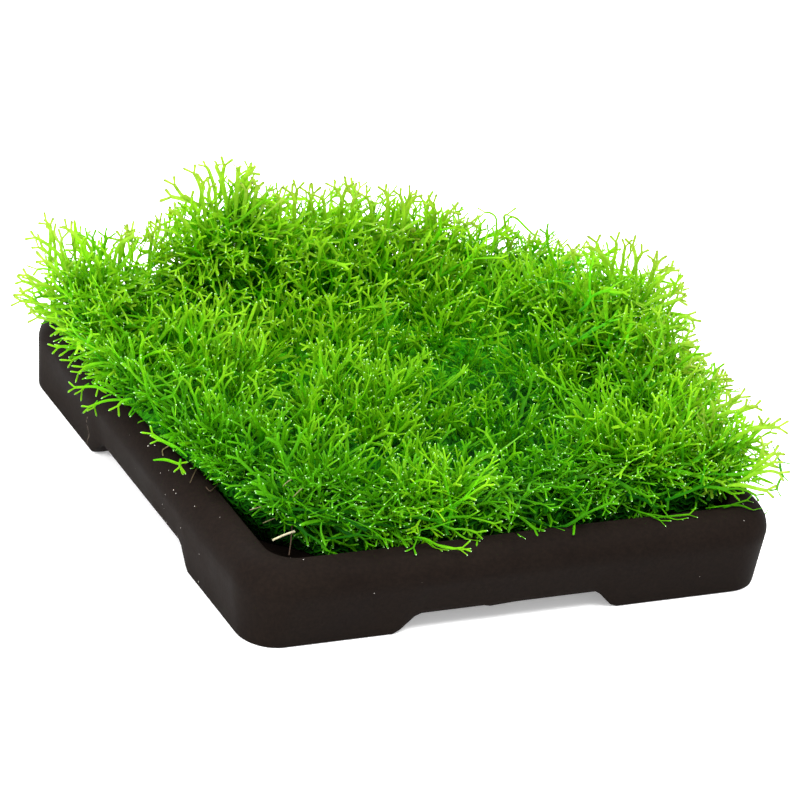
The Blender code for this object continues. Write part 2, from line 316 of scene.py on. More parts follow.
LEFT_PX = (
    (56,265, 55,243, 50,228, 41,218), (51,233, 49,217), (63,265, 60,254, 43,241, 27,234),
    (92,252, 85,238, 70,232, 61,223), (73,234, 67,224), (115,258, 118,244, 139,233), (121,242, 122,230),
    (125,239, 131,229), (150,252, 152,238, 154,225), (178,234, 170,230, 160,230, 157,223),
    (54,292, 36,280, 19,271), (50,294, 30,283, 14,279), (52,306, 30,302, 12,300), (36,301, 27,296, 19,292),
    (54,316, 40,312, 26,310), (56,321, 42,318, 31,316), (62,278, 50,263, 36,258),
)
HANGING_PX = (
    (78,338, 62,330, 51,331), (76,347, 62,346, 51,350), (90,352, 76,358, 65,365), (100,365, 85,368, 72,377),
    (102,362, 88,365, 77,371), (114,393, 96,386, 83,387, 66,388), (84,387, 78,396), (97,386, 100,392),
    (118,399, 103,401, 94,405, 81,410), (95,405, 93,411), (124,400, 120,403, 115,411),
    (177,447, 165,442, 155,436, 148,430), (163,441, 150,439), (165,459, 176,463, 183,465),
    (180,464, 179,472), (425,538, 438,546, 452,549, 471,547), (440,545, 455,551, 468,555),
    (428,541, 436,550, 443,558),
)
CREEPING_PX = (
    (716,507, 741,504, 753,511, 767,515), (732,505, 744,501, 752,499), (640,512, 655,517, 667,526),
    (648,514, 672,518, 685,526), (664,517, 684,515, 697,514),
)
SHADED_PX = (
    (103,268, 100,250, 90,240, 81,231), (94,245, 91,230), (101,252, 106,240, 102,230), (105,244, 110,232),
    (560,275, 548,250, 547,236, 544,229), (547,239, 551,230), (584,295, 577,288, 574,276),
    (577,288, 582,278), (225,226, 240,221, 252,210, 271,195),
)
ARCHING_PX = (
    (491,256, 495,240, 498,217, 489,212, 479,213), (508,248, 507,232, 503,215, 514,214),
    (510,214, 519,220, 526,228, 540,240),
)

# Their width, tone and share of tips with a pale growing point that carries a painted glint
OUTLINE_GROUPS = (
    (TALL_TUFT_PX, 0.78, 0.95, 0), (BACK_PX, 0.68, 0.95, 0), (RIGHT_PX, 0.70, 0.95, 0),
    (LEFT_PX, 0.68, 0.94, 0), (HANGING_PX, 0.46, 0.62, 1), (CREEPING_PX, 0.34, 0.15, 1),
    (SHADED_PX, 0.52, 0.42, 0), (ARCHING_PX, 0.46, 0.90, 0),
)

# The photograph's outline of the whole mat, anticlockwise from the left, in pairs of x and y: no sprig is
# kept that would end outside it
ENVELOPE_PX = (
    12,300, 19,306, 34,318, 58,330, 66,346, 84,370, 96,384, 110,398, 130,402, 146,409, 156,424, 164,436,
    180,449, 195,463, 217,480, 245,495, 266,508, 286,526, 304,542, 350,552, 410,552, 440,559, 480,552,
    540,541, 600,530, 690,521, 720,513, 752,503, 776,493, 788,476, 783,450, 787,428, 781,424, 764,405,
    752,400, 734,393, 724,371, 706,358, 693,340, 697,318, 687,300, 685,283, 677,265, 652,252, 630,237,
    595,234, 573,244, 545,229, 520,232, 500,222, 479,214, 458,208, 433,196, 414,188, 384,183, 351,180,
    331,180, 305,185, 273,189, 261,176, 257,155, 219,156, 190,163, 170,177, 164,195, 156,223, 122,229,
    82,230, 61,223, 41,216, 27,234, 14,279,
)
ENVELOPE_CLEAR = 0.6

# Sprigs that end within so many pixels of the outline are against the light, and those within more near it
AT_OUTLINE_PX = 9
NEAR_OUTLINE_PX = 27
AT_OUTLINE_TONES = (0.94, 0.985)
NEAR_OUTLINE_TONES = (0.895, 0.934)
LIT_TONE = 0.875

# Where the light comes through the sprigs, from not at all to fully: to the back, to the right, with their
# height over the rim, and to the left where that is also towards the back
LIT_BACK = (28, 46)
LIT_RIGHT = (35, 52)
LIT_HEIGHT = (12, 22)
LIT_LEFT = (40, 54)
LIT_LEFT_BACK = (16, 34)

# How far from the tray's middle sprigs may end, and the limits, by x, y and z, that ribbons are held in
BOX_SIDES = 58.0
BOX_FRONT = 52.0
BOX_BACK = 53.0
HELD_IN = ((-58.3, 58.3), (-50.8, 52.0), (-99.0, 46.0))
HELD_SOFT = 3.0

# Dead stalks at the front left corner, on the rim and on the mat: the path by the photograph's pixels,
# from foot to end, the width, and how brown they are
RIM_STALKS_PX = (
    ((293,532, 284,535, 273,540), 0.52, 0.03), ((292,527, 291,541, 289,555), 0.28, 0.9),
    ((264,506, 257,508, 250,510), 0.28, 0.18), ((273,519, 268,521, 263,523), 0.24, 0.25),
    ((287,518, 295,514, 303,517), 0.14, 0.3), ((196,470, 193,476, 190,483), 0.26, 0.8),
    ((217,485, 210,492, 206,487), 0.2, 0.85), ((167,447, 162,450, 163,456), 0.26, 0.35),
)
MAT_STALKS_PX = (
    ((290,480, 286,483, 283,486), 0.2, 0.25), ((301,489, 297,493, 293,497), 0.2, 0.3),
)
STALK_SIDES = 7
STALK_ROOT = 0.3


def unit(vectors):
    return vectors / np.maximum(np.linalg.norm(vectors, axis=-1, keepdims=True), 1e-9)


def smooth_step(low, high, value):
    t = np.clip((value - low) / (high - low), 0, 1)
    return t * t * (3 - 2 * t)


def bell(x, y, place_x, place_y, radius):
    """1 at a place, and less the farther x and y lie from it."""
    return np.exp(-((x - place_x) ** 2 + (y - place_y) ** 2) / radius ** 2)


def smooth_line(path, passes):
    """A path with three steps to each of its stretches, smoothed that many times."""
    knots = np.linspace(0, len(path) - 1, 3 * len(path) - 2)
    line = np.stack([np.interp(knots, np.arange(len(path)), path[:, axis]) for axis in range(3)], -1)
    for _ in range(passes):
        line[1:-1] = (line[:-2] + 2 * line[1:-1] + line[2:]) / 4
    return line


# Camera

def camera_axes():
    """The camera's axes across, up and along its view, and its place in metres."""
    pitch, yaw, roll = CAMERA_PITCH, CAMERA_YAW, CAMERA_ROLL
    across = Vector((math.cos(yaw), -math.sin(yaw), 0))
    up = Vector((math.sin(pitch) * math.sin(yaw), math.sin(pitch) * math.cos(yaw), math.cos(pitch)))
    ahead = Vector((math.cos(pitch) * math.sin(yaw), math.cos(pitch) * math.cos(yaw), -math.sin(pitch)))
    right = across * math.cos(roll) - up * math.sin(roll)
    top = across * math.sin(roll) + up * math.cos(roll)
    return right, top, ahead, across * AIM_ACROSS + up * AIM_UP - ahead * CAMERA_DISTANCE


VIEW_RIGHT, VIEW_TOP, VIEW_AHEAD, VIEW_FROM = (np.array(vector) for vector in camera_axes())


def sight_line(pixel):
    """The camera's place and the direction of its line of sight through a pixel of the photograph."""
    across, down = (np.array(pixel) - FRAME_PX / 2) / FOCAL_PX
    return VIEW_FROM / MM, unit(VIEW_AHEAD + VIEW_RIGHT * across - VIEW_TOP * down)


def seen_at(points):
    """The photograph's pixels at which places of the model are seen."""
    apart = points * MM - VIEW_FROM
    scale = FOCAL_PX / (apart @ VIEW_AHEAD)
    return np.stack([FRAME_PX / 2 + apart @ VIEW_RIGHT * scale, FRAME_PX / 2 - apart @ VIEW_TOP * scale], -1)


def inside_envelope(points, shift=(0, 0)):
    """Whether each place, or one that many pixels across and down from it, is seen inside the outline."""
    x, y = seen_at(points).T + np.array(shift)[:, None]
    corners = np.reshape(ENVELOPE_PX, (-1, 2)).astype(float)
    inside = np.zeros(len(x), bool)
    for (x0, y0), (x1, y1) in zip(corners, np.roll(corners, -1, 0)):
        if y0 != y1:
            crosses = (y0 > y) != (y1 > y)
            inside ^= crosses & (x < x0 + (y - y0) * (x1 - x0) / (y1 - y0))
    return inside


# Meshes

def add_object(name, data):
    made = bpy.data.objects.new(name, data)
    bpy.context.scene.collection.objects.link(made)
    return made


class Skin:
    """The points and faces of one piece, gathered ring by ring."""

    def __init__(self):
        self.points, self.growth, self.quads, self.tris = [], [], [], []
        self.count = 0

    def add_points(self, points, growth=()):
        """The numbers of the points added. Growth is the tone and age of each, if the piece has them."""
        start = self.count
        self.points.append(np.reshape(points, (-1, 3)))
        self.growth.append(np.reshape(growth, (-1, 2)))
        self.count += len(self.points[-1])
        return np.arange(start, self.count)

    def add_band(self, low, high):
        """Quads from a ring to the next, or from each of several rings to its next."""
        quads = np.stack([low, np.roll(low, -1, -1), np.roll(high, -1, -1), high], -1)
        self.quads.append(quads.reshape(-1, 4))

    def add_fan(self, ring, middle, last=False):
        """Triangles that close a skin's first ring, or its last one, round a point."""
        after = np.roll(ring, -1)
        pair = (ring, after) if last else (after, ring)
        self.tris.append(np.column_stack([*pair, np.full(len(ring), middle)]))

    def piece(self, name, slot, surface, settle=np.array):
        """The mesh, settled, as a piece that rides on the tray's body. A growth map gives it crisp edges."""
        points = settle(np.concatenate(self.points))
        growth = np.clip(np.concatenate(self.growth), 0.001, 0.999)
        quads, tris = np.concatenate(self.quads), np.concatenate(self.tris)
        mesh = bpy.data.meshes.new(name)
        mesh.from_pydata(points * MM, [], [*quads.tolist(), *tris.tolist()], shade_flat=False)
        if len(growth):
            mesh.set_sharp_from_angle(angle=CRISP_ANGLE)
            for map_name in ("growth", "OFBake"):
                layer = mesh.uv_layers.new(name=map_name)
                layer.data.foreach_set("uv", growth[np.append(quads, tris)].ravel())
        mesh.materials.append(surface)
        made = add_object(name, mesh)
        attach(made, "root")
        return made


# Materials

class Nodes:
    """A material's node tree, with short calls for making and joining nodes."""

    def __init__(self, name):
        self.material = bpy.data.materials.new(name)
        self.material.use_nodes = True
        self.tree = self.material.node_tree
        self.tree.nodes.clear()
        self.output = self.add("ShaderNodeOutputMaterial")

    def add(self, kind, inputs=None, **settings):
        node = self.tree.nodes.new(kind)
        for key, value in settings.items():
            setattr(node, key, value)
        for key, value in (inputs or {}).items():
            socket = node.inputs[key]
            if isinstance(value, bpy.types.NodeSocket):
                self.tree.links.new(value, socket)
            else:
                socket.default_value = (*value, 1.0) if socket.type == "RGBA" else value
        return node

    def math(self, operation, first, second=0.0, clamp=False):
        node = self.add("ShaderNodeMath", {0: first, 1: second}, operation=operation, use_clamp=clamp)
        return node.outputs[0]

    def times(self, first, *others):
        for other in others:
            first = self.math("MULTIPLY", first, other)
        return first

    def share(self, value, low, high):
        """How far a value lies from low to high, from 0 to 1."""
        return self.math("DIVIDE", self.math("SUBTRACT", value, low), high - low, clamp=True)

    def squared(self, value, middle, spread):
        """The square of how far a value lies from a middle, in spreads."""
        away = self.math("DIVIDE", self.math("SUBTRACT", value, middle), spread)
        return self.math("POWER", away, 2.0)

    def ramp(self, fac, stops):
        node = self.add("ShaderNodeValToRGB", {"Fac": fac})
        elements = node.color_ramp.elements
        while len(elements) < len(stops):
            elements.new(0.5)
        for element, (place, color) in zip(elements, stops):
            element.position = place
            element.color = (*color, 1.0)
        return node.outputs["Color"]

    def mix_color(self, fac, first, second, blend="MIX"):
        inputs = {"Factor": fac, 6: first, 7: second}
        return self.add("ShaderNodeMix", inputs, data_type="RGBA", blend_type=blend).outputs[2]

    def places(self):
        """Where the surface lies on the object, in metres, and its x, y and z."""
        place = self.add("ShaderNodeTexCoord").outputs["Object"]
        return place, *self.add("ShaderNodeSeparateXYZ", {"Vector": place}).outputs

    def growth(self):
        """The growth map, and the tone and the age in it."""
        growth = self.add("ShaderNodeUVMap", uv_map="growth").outputs["UV"]
        parts = self.add("ShaderNodeSeparateXYZ", {"Vector": growth}).outputs
        return growth, parts["X"], parts["Y"]

    def noise(self, place, scale, detail, roughness=0.5):
        inputs = {"Vector": place, "Scale": scale, "Detail": detail, "Roughness": roughness}
        return self.add("ShaderNodeTexNoise", inputs).outputs

    def streaks(self, color, growth, scale, detail, dim, bright):
        """A colour with streaks along the growth map washed over it."""
        stretched = self.add("ShaderNodeMapping", {"Vector": growth, "Scale": scale}).outputs[0]
        wash = self.ramp(self.noise(stretched, 1.0, detail)["Fac"], ((0.3, dim), (0.7, bright)))
        return self.mix_color(1.0, color, wash, "MULTIPLY")

    def bump(self, height, strength, distance):
        inputs = {"Height": height, "Strength": strength, "Distance": distance}
        return {"Normal": self.add("ShaderNodeBump", inputs).outputs["Normal"]}

    def principled(self, color, roughness, specular, more=None):
        inputs = {"Base Color": color, "Roughness": roughness, "Specular IOR Level": specular}
        return self.add("ShaderNodeBsdfPrincipled", {**inputs, **(more or {})}).outputs["BSDF"]

    def finish(self, shader):
        self.tree.links.new(shader, self.output.inputs["Surface"])
        return self.material


def ceramic_material():
    """Matte dark brown ceramic: fine grain, soft mottling, pale specks and a dried trickle on its left."""
    made = Nodes("matte_ceramic")
    place, x, y, z = made.places()
    mottle = made.noise(place, 90.0, 4.0, 0.6)["Fac"]
    grain = made.noise(place, 1500.0, 3.0, 0.6)["Fac"]
    clay = made.ramp(mottle, ((0.3, (0.0045, 0.0028, 0.0021)), (0.7, (0.0068, 0.0046, 0.0035))))
    dust = made.ramp(grain, ((0.35, (0.80, 0.80, 0.80)), (0.75, (1.22, 1.18, 1.14))))
    color = made.mix_color(1.0, clay, dust, "MULTIPLY")

    left_wall = made.math("LESS_THAN", x, LEFT_WALL_X * MM)
    along, up = (made.squared(value, middle * MM, spread * MM)
                 for value, middle, spread in zip((y, z), SPECKS_AT, SPECKS_SPREAD))
    near = made.math("EXPONENT", made.times(made.math("ADD", along, up), -1.0))
    plenty = made.math("ADD", made.times(near, left_wall, 0.55), 0.025)
    cells = made.add("ShaderNodeTexVoronoi", {"Vector": place, "Scale": 1150.0, "Randomness": 1.0}).outputs
    lot = made.add("ShaderNodeSeparateColor", {"Color": cells["Color"]}).outputs
    size = made.math("ADD", made.times(lot[1], 0.09), 0.06)
    small = made.math("LESS_THAN", cells["Distance"], size)
    speck = made.times(made.math("LESS_THAN", lot[0], plenty), small)
    color = made.mix_color(speck, color, (0.36, 0.34, 0.31))

    wander = made.times(made.math("SINE", made.times(z, 1500.0)), 0.5 * MM)
    aside = made.math("SUBTRACT", made.math("SUBTRACT", y, TRICKLE_Y * MM), wander)
    narrow = made.math("LESS_THAN", made.math("ABSOLUTE", aside), TRICKLE_HALF * MM)
    low = made.math("LESS_THAN", z, TRICKLE_TOP * MM)
    broken = made.math("GREATER_THAN", grain, 0.47)
    color = made.mix_color(made.times(narrow, low, left_wall, broken, 0.35), color, (0.16, 0.13, 0.10))

    bump = made.bump(made.math("ADD", made.times(grain, 0.5), mottle), 0.35, 0.12 * MM)
    shine = made.ramp(mottle, ((0.3, (0.66, 0.66, 0.66)), (0.75, (0.84, 0.84, 0.84))))
    return made.finish(made.principled(color, shine, 0.03, bump))


def thallus_material():
    """Wet green ribbons: u goes from sprigs in painted shade to fresh ones and on to sprigs in painted
    light, v from their foot, darker as painted shade, to the growing point.
    """
    made = Nodes("thallus")
    growth, tone, age = made.growth()
    # Painted shade: deep green low in the mat and darker feet; pale ends are growing points with a painted
    # glint
    painted_shade_green = made.ramp(age, (
        (0.00, (0.001, 0.065, 0.0004)),
        (0.35, (0.013, 0.150, 0.0005)),
        (0.90, (0.082, 0.345, 0.0008)),
        (0.94, (0.160, 0.480, 0.0600)),
        (0.97, (0.340, 0.600, 0.2600))))
    fresh = made.ramp(age, (
        (0.00, (0.018, 0.230, 0.0004)),
        (0.30, (0.074, 0.450, 0.0009)),
        (0.60, (0.156, 0.535, 0.0028)),
        (0.90, (0.250, 0.535, 0.0095)),
        (0.94, (0.260, 0.580, 0.0400)),
        (0.97, (0.380, 0.640, 0.2400))))
    # Painted light for sprigs that the light comes through; their beads end dark, painted shade against the
    # light
    painted_lit_green = made.ramp(age, (
        (0.00, (0.070, 0.290, 0.0020)),
        (0.30, (0.140, 0.450, 0.0060)),
        (0.60, (0.240, 0.490, 0.0190)),
        (0.90, (0.310, 0.475, 0.0600)),
        (0.94, (0.230, 0.310, 0.0500)),
        (0.97, (0.110, 0.140, 0.0450))))
    color = made.mix_color(made.share(tone, 0.0, FRESHEST), painted_shade_green, fresh)
    color = made.mix_color(made.share(tone, 0.868, 0.9394), color, painted_lit_green)
    color = made.streaks(color, growth, (90.0, 14.0, 1.0), 2.0, (0.80, 0.86, 0.80), (1.18, 1.12, 1.10))
    bead = made.math("GREATER_THAN", age, 0.955)
    shine = made.math("SUBTRACT", 0.55, made.times(bead, 0.40))
    glow = made.mix_color(1.0, color, (1.42, 1.15, 0.55), "MULTIPLY")
    through = made.add("ShaderNodeBsdfTranslucent", {"Color": glow}).outputs["BSDF"]
    share = made.math("SUBTRACT", 0.58, made.times(bead, 0.50))
    both = made.add("ShaderNodeMixShader", {0: share, 1: made.principled(color, shine, 0.08), 2: through})
    return made.finish(both.outputs["Shader"])


def stalk_material():
    """Dead stalks, from pale straw to reddish brown by u, streaked along them."""
    made = Nodes("dead_stalk")
    growth, brown, _ = made.growth()
    color = made.ramp(brown, (
        (0.00, (0.520, 0.500, 0.340)),
        (0.12, (0.250, 0.235, 0.130)),
        (0.35, (0.100, 0.090, 0.034)),
        (0.90, (0.028, 0.015, 0.008))))
    color = made.streaks(color, growth, (30.0, 5.0, 1.0), 3.0, (0.62, 0.58, 0.54), (1.12, 1.10, 1.08))
    return made.finish(made.principled(color, 0.6, 0.2))


def shade_material():
    """The shaded inside of the mat: a dim net of ribbons over near black green, painted shade, with painted
    light making it lighter to the back.
    """
    made = Nodes("mat_shade")
    place, _, y, _ = made.places()
    warp = made.noise(place, 260.0, 2.0)["Color"]
    bent = made.add("ShaderNodeVectorMath", {0: warp, 1: (0.0040,) * 3}, operation="MULTIPLY").outputs[0]
    moved = made.add("ShaderNodeVectorMath", {0: place, 1: bent}, operation="ADD").outputs[0]
    lines = []
    for scale, shift in ((420.0, 0.0), (600.0, 0.37)):
        shifted = made.add("ShaderNodeVectorMath", {0: moved, 1: (shift,) * 3}, operation="ADD").outputs[0]
        inputs = {"Vector": shifted, "Scale": scale}
        net = made.add("ShaderNodeTexVoronoi", inputs, feature="DISTANCE_TO_EDGE")
        wide = made.math("MULTIPLY", net.outputs["Distance"], 5.0, clamp=True)
        lines.append(made.math("SUBTRACT", 1.0, wide))
    tangle = made.math("MAXIMUM", lines[0], made.times(lines[1], 0.7))
    dim = made.ramp(tangle, (
        (0.00, (0.0008, 0.016, 0.0010)),
        (0.45, (0.0030, 0.055, 0.0012)),
        (1.00, (0.0160, 0.150, 0.0012))))
    lit = made.ramp(tangle, (
        (0.00, (0.0070, 0.105, 0.0010)),
        (0.45, (0.0200, 0.185, 0.0012)),
        (1.00, (0.0550, 0.320, 0.0016))))
    color = made.mix_color(made.share(y, -4 * MM, 28 * MM), dim, lit)
    return made.finish(made.principled(color, 0.9, 0.03, made.bump(tangle, 1.0, 0.7 * MM)))


# The floor glows faintly as a light table, which lightens the shadows round and under the tray
def floor_material():
    made = Nodes("pale_floor")
    glow = {"Emission Color": (1.0, 1.0, 1.0), "Emission Strength": 0.30}
    return made.finish(made.principled((0.90, 0.90, 0.90), 0.9, 0.1, glow))


# Tray

def rounded_square(half, corner):
    """Places round a square with rounded corners, anticlockwise from its +X side."""
    straight = half - min(corner, half * 0.98)
    side = half + 1j * np.linspace(-straight, straight, SIDE_STEPS + 1)[:-1]
    angle = np.linspace(0, math.pi / 2, CORNER_STEPS + 1)[:-1]
    arc = straight * (1 + 1j) + (half - straight) * np.exp(1j * angle)
    places = np.outer((1, 1j, -1, -1j), np.append(side, arc)).ravel()
    return np.column_stack([places.real, places.imag])


def arch_lift(places):
    """How high the tray's underside stands over the ground: two crossing channels between four feet."""
    lifts = []
    for along, height in ((places[:, 0], ARCH_HEIGHT_FRONT), (places[:, 1], ARCH_HEIGHT_SIDES)):
        away = np.abs(along - ARCH_SHIFT)
        ramp = np.clip((ARCH_HALF_FOOT - away) / ARCH_RAMP, 0, 1)
        lifts.append(height * (0.75 * ramp + 0.25 * smooth_step(0, 1, ramp)))
    sag = np.interp(places[:, 0], ARCH_SAG_X, ARCH_SAG) * (places[:, 1] < FRONT_WALL_Y)
    return np.maximum(*lifts) - sag


def quarter_round(radius, count):
    """How far each place round a quarter circle lies from its last tangent, and from its first."""
    angles = np.radians(np.linspace(0, 90, count))
    return zip(radius * (1 - np.sin(angles)), radius * (1 - np.cos(angles)))


def tray_rings():
    """The tray's rings from the middle of its underside, out, up, over the rim and in to the floor: half
    the side, the corner's radius, how far up the wall, or nothing under it, and the height."""
    floor = TRAY_HEIGHT - RECESS_DEPTH
    for half in np.arange(3.0, TRAY_FOOT_HALF - FOOT_EDGE - 1, 1.5):
        yield half, TRAY_CORNER_FOOT * half / TRAY_FOOT_HALF, None, 0.0
    for inset, rise in quarter_round(FOOT_EDGE, 4):
        yield TRAY_FOOT_HALF - inset, TRAY_CORNER_FOOT - inset, None, rise
    for step in np.linspace(0, 1, 9)[1:-1]:
        half = TRAY_FOOT_HALF + (TRAY_HALF - TRAY_FOOT_HALF) * step
        corner = TRAY_CORNER_FOOT + (TRAY_CORNER_TOP - TRAY_CORNER_FOOT) * step
        yield half, corner, step, TRAY_HEIGHT - RIM_ROUND
    for drop, inset in quarter_round(RIM_ROUND, 13):
        yield TRAY_HALF - inset, TRAY_CORNER_TOP - inset / 2, 1.0, TRAY_HEIGHT - drop
    for outset, drop in quarter_round(RIM_INNER_ROUND, 6):
        yield RECESS_HALF + outset, RECESS_CORNER + outset, 1.0, TRAY_HEIGHT - drop
    for rise, inset in quarter_round(RECESS_FILLET, 7):
        inset = inset + RECESS_DRAFT
        yield RECESS_HALF - inset, RECESS_CORNER - inset / 2, 1.0, floor + rise
    for half in (34.0, 22.0, 10.0, 3.0):
        yield half, 2.0, 1.0, floor


def add_tray(surface):
    levels = []
    for half, corner, rise, height in tray_rings():
        places = rounded_square(half, corner)
        foot = arch_lift(places)
        edge = FOOT_EDGE * (1 - 0.85 * np.clip(foot / ARCH_HEIGHT_FRONT, 0, 1))
        if rise is None:
            z = foot + height * edge / FOOT_EDGE
        else:
            z = foot + edge + (height - foot - edge) * rise
        levels.append(np.column_stack([places, z]))
    points = np.concatenate(levels)
    sway = TRAY_SWAY * np.sin(points[:, 0] * 0.11 + 0.7) * np.sin(points[:, 1] * 0.09 + 0.2)
    points[:, 2] += sway * smooth_step(5, 12, points[:, 2])
    skin = Skin()
    rings = skin.add_points(points).reshape(len(levels), -1)
    skin.add_band(rings[:-1], rings[1:])
    for end in (0, -1):
        skin.add_fan(rings[end], skin.add_points(levels[end].mean(0))[0], end == -1)
    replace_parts(skin.piece("ceramic_tray", "ceramic", surface), "tray")


def tray_distance(x, y):
    """How far a place lies inside the tray's outline at its widest."""
    over_x = np.abs(x) - (TRAY_HALF - TRAY_CORNER_TOP)
    over_y = np.abs(y) - (TRAY_HALF - TRAY_CORNER_TOP)
    outside = np.hypot(np.maximum(over_x, 0), np.maximum(over_y, 0))
    return TRAY_CORNER_TOP - outside - np.minimum(np.maximum(over_x, over_y), 0)


def rim_height(inside):
    """The height of the rounded rim, that far inside the tray's outline."""
    return TRAY_HEIGHT - RIM_ROUND + np.sqrt(
        np.clip(RIM_ROUND ** 2 - np.clip(RIM_ROUND - inside, 0, RIM_ROUND) ** 2, 0, None))


def keep_off_tray(points):
    """Points that would sink into the rim are lifted to lie on it."""
    inside = tray_distance(points[:, 0], points[:, 1])
    rim = rim_height(inside) + SKIN_CLEAR
    over_rim = (inside > 0) & (inside < TRAY_HALF - RECESS_HALF + 0.3)
    lifted = over_rim & (points[:, 2] < rim)
    points[lifted, 2] = rim[lifted]
    return points


def hold_in(points):
    """Points near the limits of the solids' box are drawn in, so that no ribbon goes far beyond it."""
    for axis, (low, high) in enumerate(HELD_IN):
        for sign, limit in ((1, high), (-1, -low)):
            over = sign * points[:, axis] - (limit - HELD_SOFT)
            held = limit - HELD_SOFT + HELD_SOFT * np.tanh(np.maximum(over, 0) / HELD_SOFT)
            points[:, axis] = np.where(over > 0, sign * held, points[:, axis])
    return keep_off_tray(points)


# The mat's form

def mat_plan(a, b):
    """Where a place of the mat lies on the tray: a and b run from -1 to 1 between its sides."""
    x = a * np.sqrt(1 - MAT_ROUNDING * b * b / 2) * np.where(a > 0, MAT_RIGHT, MAT_LEFT)
    y = b * np.sqrt(1 - MAT_ROUNDING * a * a / 2) * np.where(b > 0, MAT_BACK, MAT_FRONT)
    away = np.hypot(x - BARE_CORNER[0], y - BARE_CORNER[1]) / BARE_SPREAD
    pull = BARE_DEPTH * np.exp(-away * away) * np.maximum(np.abs(a), np.abs(b)) ** 2
    return x + pull, y + pull * 0.15


def mound_height(x, y):
    """The height of the mat's body over the rim, away from its edge."""
    height = MAT_BODY + 0.7 * np.sin(x * 0.41 + 1.0) * np.sin(y * 0.37 + 0.4)
    for place_x, place_y, spread_x, spread_y, rise in MOUNDS:
        away = ((x - place_x) / spread_x) ** 2 + ((y - place_y) / spread_y) ** 2
        height = height + rise * np.exp(-away / 2)
    return height


def cushions_at(x, y):
    """How far up a cushion each place lies, from 0 to 1, and how it lies from that cushion's middle."""
    best = np.zeros_like(x)
    away = np.zeros(x.shape + (3,))
    for place_x, place_y, radius in CUSHIONS:
        apart = np.stack([x - place_x, y - place_y, np.zeros_like(x)], -1) / radius
        part = np.exp(-np.sum(apart * apart, -1))
        nearer = part > best
        best = np.where(nearer, part, best)
        away = np.where(nearer[..., None], apart, away)
    return best, away


def mat_top(a, b, depth=0.0):
    """The mat's upper side, or a surface that far below it, rounded down to the edge."""
    x, y = mat_plan(a, b)
    shoulder = np.sqrt(np.clip(1 - np.maximum(np.abs(a), np.abs(b)) ** 6, 0, 1))
    relief = CUSHION_RISE * (cushions_at(x, y)[0] - CUSHION_MIDDLING)
    z = TRAY_HEIGHT + EDGE_LIFT + (mound_height(x, y) + relief - depth - EDGE_LIFT) * shoulder
    return np.stack([x, y, z], -1)


def mat_normal(a, b, step=0.01):
    """Which way the mat's upper side faces."""
    along_a = mat_top(a + step, b) - mat_top(a - step, b)
    along_b = mat_top(a, b + step) - mat_top(a, b - step)
    return unit(np.cross(along_a, along_b))


def in_pocket(x, y):
    """How far a place lies in a pocket, from 0 to 1 in its middle."""
    return np.maximum.reduce([bell(x, y, *pocket) for pocket in POCKETS])


def patch_sum(patches, x, y):
    """The sum of what round patches that fade outwards give each place of the mat."""
    total = np.zeros_like(x)
    for place_x, place_y, radius, amount in patches:
        total += amount * bell(x, y, place_x, place_y, radius)
    return total


def corner_gap(x, y):
    """How far each place lies in the gap at the front left corner, from 0 to 1."""
    return np.exp(-(np.hypot(x - CORNER_GAP[0], y - CORNER_GAP[1]) / CORNER_GAP_REACH) ** 2)


# Ribbons

def turn_in_plane(state, angle):
    """Each heading turned in its ribbon's own plane."""
    heading, side = state["heading"], state["side"]
    cos, sin = np.cos(angle)[:, None], np.sin(angle)[:, None]
    state["heading"] = heading * cos + side * sin
    state["side"] = side * cos - heading * sin


def twist(state, angle):
    """Each ribbon turned about its own heading."""
    up = np.cross(state["side"], state["heading"])
    state["side"] = unit(state["side"] * np.cos(angle)[:, None] + up * np.sin(angle)[:, None])


def bend(state, push):
    """Each heading bent by a push, with its ribbon kept flat across it."""
    state["heading"] = unit(state["heading"] + push)
    side = state["side"]
    state["side"] = unit(side - state["heading"] * np.sum(side * state["heading"], 1, keepdims=True))


def some_of(state, which):
    return {key: value[which] for key, value in state.items()}


